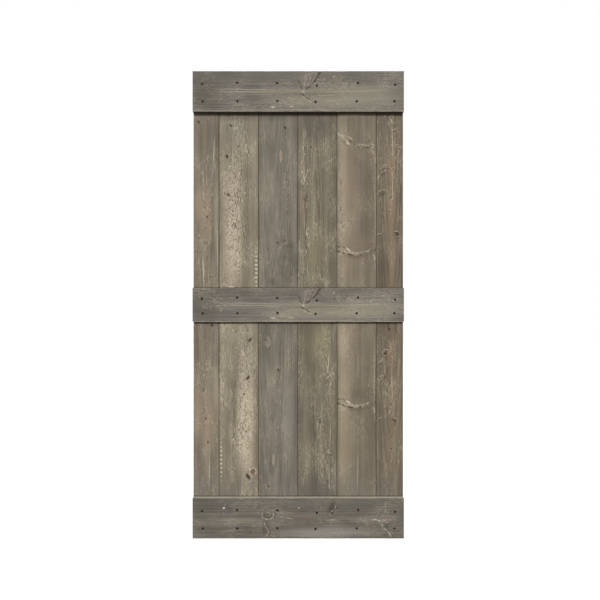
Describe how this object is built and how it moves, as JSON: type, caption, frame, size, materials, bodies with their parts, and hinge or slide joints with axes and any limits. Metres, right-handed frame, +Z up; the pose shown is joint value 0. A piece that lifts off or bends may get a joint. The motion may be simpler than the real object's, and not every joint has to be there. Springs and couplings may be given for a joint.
{
  "type": "sliding barn door slab",
  "caption": "Sliding barn door slab: full-height tongue-and-groove planks joined by top, middle and bottom rails screwed across the front, in grey-stained knotty pine.",
  "frame": {"origin": "centre of the top rail's front face, where the hangers bolt on", "axes": "+X across the door to the right as seen from the front, +Y from the front face to the back, +Z up"},
  "size_m": [0.9652, 0.0381, 2.1336],
  "materials": {
    "planks": "grey-stained knotty pine, matt",
    "rails": "grey-stained knotty pine, matt",
    "screws": "black phosphate"
  },
  "bodies": {
    "root": {"plank_1": "planks", "plank_2": "planks", "plank_3": "planks", "plank_4": "planks", "plank_5": "planks", "plank_6": "planks", "bottom_rail": "rails", "mid_rail": "rails", "top_rail": "rails"}
  },
  "joints": []
}
